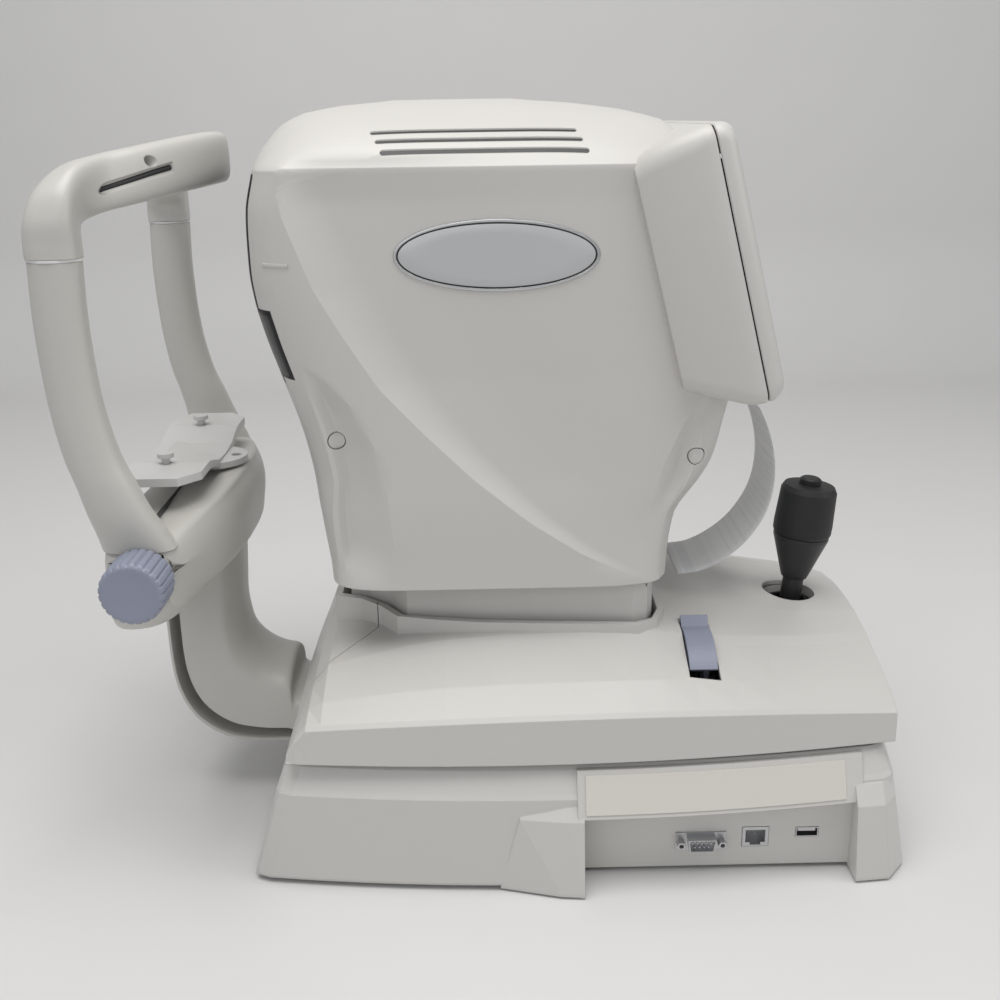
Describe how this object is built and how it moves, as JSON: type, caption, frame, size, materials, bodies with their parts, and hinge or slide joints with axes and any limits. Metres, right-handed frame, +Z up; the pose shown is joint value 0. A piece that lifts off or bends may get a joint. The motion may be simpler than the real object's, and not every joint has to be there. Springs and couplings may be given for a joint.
{
  "type": "desktop auto kerato-refractometer",
  "caption": "Desktop eye refractometer: lifting measuring head with tilted monitor on a joystick-driven cross-slide base, with chin and forehead rest.",
  "frame": {"origin": "centre of the footprint box on the table the feet stand on", "axes": "+X from the patient side toward the operator side, +Y across the table, +Z up"},
  "size_m": [0.4917, 0.314, 0.4526],
  "materials": {
    "white_shell": "fine-textured painted plastic",
    "white_plastic": "satin",
    "cream_plastic": "satin",
    "white_mark": "printed mark",
    "soft_pad": "soft silicone",
    "cream_label": "printed film",
    "black_plastic": "satin",
    "gloss_black": "high gloss",
    "black_rubber": "matte",
    "blue_grey_plastic": "satin",
    "blue_grey_dark": "soft touch",
    "silver_badge": "brushed with a bright rim",
    "socket_metal": "plated",
    "steel_plate": "rolled",
    "turned_steel": "turned and ground",
    "sheet_aluminium": "milled",
    "black_anodised": "black anodised",
    "circuit_board": "solder mask",
    "screen_glass": "dark polished panel",
    "thermal_paper": "smooth paper"
  },
  "bodies": {
    "base": {"base_housing": "white_shell", "base_plate": "steel_plate", "rubber_feet": "black_rubber", "serial_port": "socket_metal", "lan_port": "socket_metal", "usb_port": "socket_metal", "port_label": "cream_label", "power_inlet": "black_plastic", "power_supply": "sheet_aluminium", "main_board": "circuit_board", "stage_racks": "turned_steel", "friction_plate": "steel_plate", "chinrest_column": "white_shell", "column_cover": "white_shell", "chinrest_yoke": "white_shell", "post_right": "white_shell", "post_left": "white_shell", "forehead_bar": "white_shell", "forehead_pad": "soft_pad", "eye_level_rings": "white_mark"},
    "rocker": {"power_rocker": "black_plastic"},
    "chinrest": {"chinrest_carrier": "sheet_aluminium", "chinrest_plate": "cream_plastic", "paper_pins": "white_plastic"},
    "chin_screw": {"chinrest_screw": "turned_steel"},
    "chin_knob": {"chinrest_knob": "blue_grey_plastic"},
    "frame": {"cross_frame": "sheet_aluminium"},
    "axle": {"cross_axle": "turned_steel"},
    "carriage": {"carriage_cover": "white_shell", "front_cover": "white_shell", "carriage_plate": "steel_plate", "linear_bearings": "turned_steel", "lift_collar": "white_shell", "lift_guides": "turned_steel", "lift_motor": "sheet_aluminium", "joystick_socket": "black_plastic", "joystick_boot": "black_rubber", "lock_bracket": "steel_plate"},
    "lever": {"lock_lever": "blue_grey_plastic"},
    "lift_spindle": {"lift_screw": "turned_steel"},
    "gimbal": {"joystick_gimbal": "turned_steel"},
    "stick": {"joystick_stem": "black_plastic"},
    "grip": {"joystick_grip": "blue_grey_dark"},
    "button": {"measuring_button": "blue_grey_dark"},
    "head": {"head_shell_right": "white_shell", "head_shell_left": "white_shell", "monitor_bezel": "white_shell", "screen_panel": "screen_glass", "front_bezel": "gloss_black", "measuring_window": "screen_glass", "objective_unit": "black_anodised", "head_chassis": "sheet_aluminium", "control_board": "circuit_board", "oval_badges": "silver_badge", "shell_trim": "white_plastic", "printer_unit": "black_plastic", "paper_strip": "thermal_paper"},
    "roll": {"paper_roll": "thermal_paper"},
    "door": {"printer_door": "white_shell"}
  },
  "joints": [
    {"name": "power_switch_rock", "type": "hinge", "parent": "base", "child": "rocker", "pos_m": [0.14, 0.126, 0.025], "axis": [1, 0, 0], "range_deg": [-12, 0]},
    {"name": "chinrest_lift", "type": "slide", "parent": "base", "child": "chinrest", "axis": [0, 0, 1], "range_m": [0, 0.055]},
    {"name": "chinrest_screw_turn", "type": "hinge", "parent": "base", "child": "chin_screw", "pos_m": [-0.192, 0, 0.1], "axis": [0, 0, 1], "range_deg": [0, 4000]},
    {"name": "chinrest_knob_turn", "type": "hinge", "parent": "base", "child": "chin_knob", "pos_m": [-0.203, -0.13, 0.198], "axis": [0, -1, 0], "range_deg": [0, 4000]},
    {"name": "carriage_fore_aft", "type": "slide", "parent": "base", "child": "frame", "axis": [1, 0, 0], "range_m": [-0.008, 0.03]},
    {"name": "axle_roll", "type": "hinge", "parent": "frame", "child": "axle", "pos_m": [-0.035, 0, 0.0911], "axis": [0, 1, 0], "range_deg": [-90, 300]},
    {"name": "carriage_cross", "type": "slide", "parent": "frame", "child": "carriage", "axis": [0, 1, 0], "range_m": [-0.038, 0.038]},
    {"name": "lock_lever_swing", "type": "hinge", "parent": "carriage", "child": "lever", "pos_m": [0.121, -0.078, 0.101], "axis": [1, 0, 0], "range_deg": [0, 20]},
    {"name": "head_lift", "type": "slide", "parent": "carriage", "child": "head", "axis": [0, 0, 1], "range_m": [-0.012, 0.018]},
    {"name": "lift_screw_turn", "type": "hinge", "parent": "carriage", "child": "lift_spindle", "pos_m": [0.01, 0, 0.15], "axis": [0, 0, 1], "range_deg": [-500, 700]},
    {"name": "joystick_tilt_side", "type": "hinge", "parent": "carriage", "child": "gimbal", "pos_m": [0.198, 0, 0.108], "axis": [1, 0, 0], "range_deg": [-7, 7]},
    {"name": "joystick_tilt_fore_aft", "type": "hinge", "parent": "gimbal", "child": "stick", "pos_m": [0.198, 0, 0.108], "axis": [0, 1, 0], "range_deg": [-5, 6]},
    {"name": "joystick_twist", "type": "hinge", "parent": "stick", "child": "grip", "pos_m": [0.198, 0, 0.108], "axis": [0.1011, 0, 0.9949], "range_deg": [-500, 700]},
    {"name": "measuring_button_press", "type": "slide", "parent": "grip", "child": "button", "axis": [-0.1011, 0, -0.9949], "range_m": [0, 0.002], "stiffness_N_per_m": 400},
    {"name": "paper_roll_turn", "type": "hinge", "parent": "head", "child": "roll", "pos_m": [0.084, 0, 0.246], "axis": [0, 1, 0], "continuous": true},
    {"name": "printer_door_open", "type": "hinge", "parent": "head", "child": "door", "pos_m": [0.111, 0, 0.2185], "axis": [0, 1, 0], "range_deg": [0, 24]}
  ],
  "couplings": [
    {"joint": "axle_roll", "follows": "carriage_fore_aft", "rad_per_m": 125},
    {"joint": "chinrest_screw_turn", "follows": "chinrest_lift", "rad_per_m": 1256.6},
    {"joint": "chinrest_knob_turn", "follows": "chinrest_lift", "rad_per_m": 1256.6},
    {"joint": "lift_screw_turn", "follows": "head_lift", "rad_per_m": 628.32},
    {"joint": "joystick_twist", "follows": "head_lift", "rad_per_m": 628.32}
  ]
}
